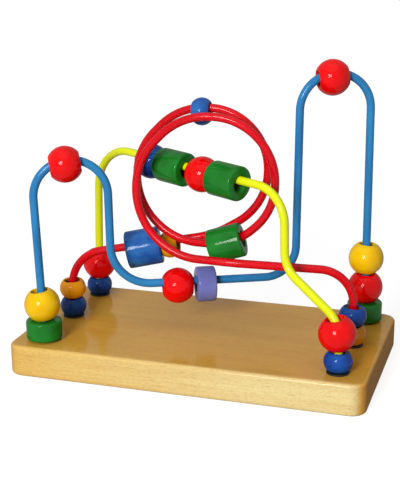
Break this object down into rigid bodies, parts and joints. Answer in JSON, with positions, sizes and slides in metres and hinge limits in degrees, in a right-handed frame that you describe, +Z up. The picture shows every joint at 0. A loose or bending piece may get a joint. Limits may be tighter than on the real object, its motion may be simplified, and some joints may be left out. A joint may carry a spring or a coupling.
{
  "type": "bead maze",
  "caption": "Wooden bead maze toy: lacquered board with blue, yellow and red coated wires, a double coil, and loose painted wooden beads that slide along the wires.",
  "frame": {"origin": "middle of the board's underside", "axes": "+X along the board to the right, +Y to the rear, +Z up"},
  "size_m": [0.26, 0.145, 0.221],
  "materials": {
    "lacquered_wood": "satin",
    "blue_coat": "gloss",
    "yellow_coat": "gloss",
    "red_coat": "gloss",
    "black_rubber": "matte",
    "red_paint": "gloss",
    "yellow_paint": "gloss",
    "orange_paint": "gloss",
    "green_paint": "gloss",
    "blue_paint": "gloss",
    "purple_paint": "gloss"
  },
  "bodies": {
    "board_and_wires": {"base": "lacquered_wood", "blue_wire": "blue_coat", "yellow_wire": "yellow_coat", "red_wire": "red_coat", "left_front_washer": "black_rubber", "left_middle_washer": "black_rubber", "left_rear_washer": "black_rubber", "right_front_washer": "black_rubber", "right_middle_washer": "black_rubber", "right_rear_washer": "black_rubber"},
    "left_front_green_drum": {"left_front_green_drum": "green_paint"},
    "left_front_yellow_ball": {"left_front_yellow_ball": "yellow_paint"},
    "left_arch_red_ball": {"left_arch_red_ball": "red_paint"},
    "dip_red_ball": {"dip_red_ball": "red_paint"},
    "dip_purple_drum": {"dip_purple_drum": "purple_paint"},
    "right_arch_red_ball": {"right_arch_red_ball": "red_paint"},
    "right_rear_green_drum": {"right_rear_green_drum": "green_paint"},
    "right_rear_red_ball": {"right_rear_red_ball": "red_paint"},
    "right_rear_yellow_ball": {"right_rear_yellow_ball": "yellow_paint"},
    "left_rear_blue_bead": {"left_rear_blue_bead": "blue_paint"},
    "left_rear_red_ball": {"left_rear_red_ball": "red_paint"},
    "run_blue_ball": {"run_blue_ball": "blue_paint"},
    "run_left_green_drum": {"run_left_green_drum": "green_paint"},
    "run_red_ball": {"run_red_ball": "red_paint"},
    "run_right_green_drum": {"run_right_green_drum": "green_paint"},
    "right_front_blue_bead": {"right_front_blue_bead": "blue_paint"},
    "right_front_red_ball": {"right_front_red_ball": "red_paint"},
    "left_middle_blue_bead": {"left_middle_blue_bead": "blue_paint"},
    "left_middle_orange_bead": {"left_middle_orange_bead": "orange_paint"},
    "ramp_blue_drum": {"ramp_blue_drum": "blue_paint"},
    "ramp_orange_bead": {"ramp_orange_bead": "orange_paint"},
    "coil_green_drum": {"coil_green_drum": "green_paint"},
    "coil_blue_bead": {"coil_blue_bead": "blue_paint"},
    "right_middle_orange_bead": {"right_middle_orange_bead": "orange_paint"},
    "right_middle_blue_bead": {"right_middle_blue_bead": "blue_paint"}
  },
  "joints": [
    {"name": "left_front_green_drum_slide", "type": "slide", "parent": "board_and_wires", "child": "left_front_green_drum", "axis": [-0.0306, -0.015, 0.9994], "range_m": [0, 0.025]},
    {"name": "left_front_yellow_ball_slide", "type": "slide", "parent": "left_front_green_drum", "child": "left_front_yellow_ball", "axis": [-0.0306, -0.015, 0.9994], "range_m": [0, 0.025]},
    {"name": "left_arch_red_ball_travel", "type": "hinge", "parent": "board_and_wires", "child": "left_arch_red_ball", "pos_m": [-0.0875, -0.04294, 0.12917], "axis": [-0.4406, 0.8977, 0], "range_deg": [-78, 88]},
    {"name": "dip_red_ball_slide", "type": "slide", "parent": "board_and_wires", "child": "dip_red_ball", "axis": [0.8977, 0.4406, 0], "range_m": [-0.007, 0.017]},
    {"name": "dip_purple_drum_slide", "type": "slide", "parent": "dip_red_ball", "child": "dip_purple_drum", "axis": [0.8977, 0.4406, 0], "range_m": [-0.0019, 0.017]},
    {"name": "right_arch_red_ball_travel", "type": "hinge", "parent": "board_and_wires", "child": "right_arch_red_ball", "pos_m": [0.08356, 0.04101, 0.1849], "axis": [-0.4406, 0.8977, 0], "range_deg": [-76, 84]},
    {"name": "right_rear_green_drum_slide", "type": "slide", "parent": "board_and_wires", "child": "right_rear_green_drum", "axis": [-0.0064, -0.0032, 1], "range_m": [0, 0.027]},
    {"name": "right_rear_red_ball_slide", "type": "slide", "parent": "right_rear_green_drum", "child": "right_rear_red_ball", "axis": [-0.0064, -0.0032, 1], "range_m": [0, 0.027]},
    {"name": "right_rear_yellow_ball_slide", "type": "slide", "parent": "right_rear_red_ball", "child": "right_rear_yellow_ball", "axis": [-0.0064, -0.0032, 1], "range_m": [0, 0.027]},
    {"name": "left_rear_blue_bead_slide", "type": "slide", "parent": "board_and_wires", "child": "left_rear_blue_bead", "axis": [0.0274, -0.0134, 0.9995], "range_m": [0, 0.025]},
    {"name": "left_rear_red_ball_slide", "type": "slide", "parent": "left_rear_blue_bead", "child": "left_rear_red_ball", "axis": [0.0274, -0.0134, 0.9995], "range_m": [0, 0.025]},
    {"name": "run_blue_ball_slide", "type": "slide", "parent": "board_and_wires", "child": "run_blue_ball", "axis": [0.8971, -0.4402, -0.0383], "range_m": [-0.013, 0.004]},
    {"name": "run_left_green_drum_slide", "type": "slide", "parent": "run_blue_ball", "child": "run_left_green_drum", "axis": [0.8971, -0.4402, -0.0383], "range_m": [0, 0.003]},
    {"name": "run_red_ball_slide", "type": "slide", "parent": "run_left_green_drum", "child": "run_red_ball", "axis": [0.8971, -0.4402, -0.0383], "range_m": [-0.004, 0.003]},
    {"name": "run_right_green_drum_slide", "type": "slide", "parent": "run_red_ball", "child": "run_right_green_drum", "axis": [0.8971, -0.4402, -0.0383], "range_m": [0, 0.003]},
    {"name": "right_front_blue_bead_spin", "type": "hinge", "parent": "board_and_wires", "child": "right_front_blue_bead", "pos_m": [0.108, -0.053, 0.0313], "axis": [0, 0, 1], "continuous": true},
    {"name": "right_front_red_ball_travel", "type": "hinge", "parent": "board_and_wires", "child": "right_front_red_ball", "pos_m": [0.09005, -0.04419, 0.04733], "axis": [0.4406, 0.8977, 0], "range_deg": [-45, 0]},
    {"name": "left_middle_blue_bead_spin", "type": "hinge", "parent": "board_and_wires", "child": "left_middle_blue_bead", "pos_m": [-0.108, 0, 0.0313], "axis": [0, 0, 1], "continuous": true},
    {"name": "left_middle_orange_bead_travel", "type": "hinge", "parent": "board_and_wires", "child": "left_middle_orange_bead", "pos_m": [-0.07926, 0.00386, 0.04774], "axis": [-0.1333, 0.9911, 0], "range_deg": [0, 70]},
    {"name": "ramp_blue_drum_slide", "type": "slide", "parent": "board_and_wires", "child": "ramp_blue_drum", "axis": [0.974, 0.131, 0.1846], "range_m": [-0.012, 0.002]},
    {"name": "ramp_orange_bead_slide", "type": "slide", "parent": "ramp_blue_drum", "child": "ramp_orange_bead", "axis": [0.974, 0.131, 0.1846], "range_m": [0, 0.002]},
    {"name": "coil_green_drum_travel", "type": "hinge", "parent": "board_and_wires", "child": "coil_green_drum", "pos_m": [-0.0009, -0.00111, 0.14132], "axis": [-0.047, -0.9987, -0.0198], "range_deg": [-2, 36]},
    {"name": "coil_blue_bead_travel", "type": "hinge", "parent": "board_and_wires", "child": "coil_blue_bead", "pos_m": [-0.00317, 0.00762, 0.13973], "axis": [0.0514, -0.9986, 0.0131], "range_deg": [-5, 38]},
    {"name": "right_middle_orange_bead_slide", "type": "slide", "parent": "board_and_wires", "child": "right_middle_orange_bead", "axis": [0, 0, 1], "range_m": [0, 0.004]},
    {"name": "right_middle_blue_bead_slide", "type": "slide", "parent": "right_middle_orange_bead", "child": "right_middle_blue_bead", "axis": [0, 0, 1], "range_m": [0, 0.004]}
  ]
}
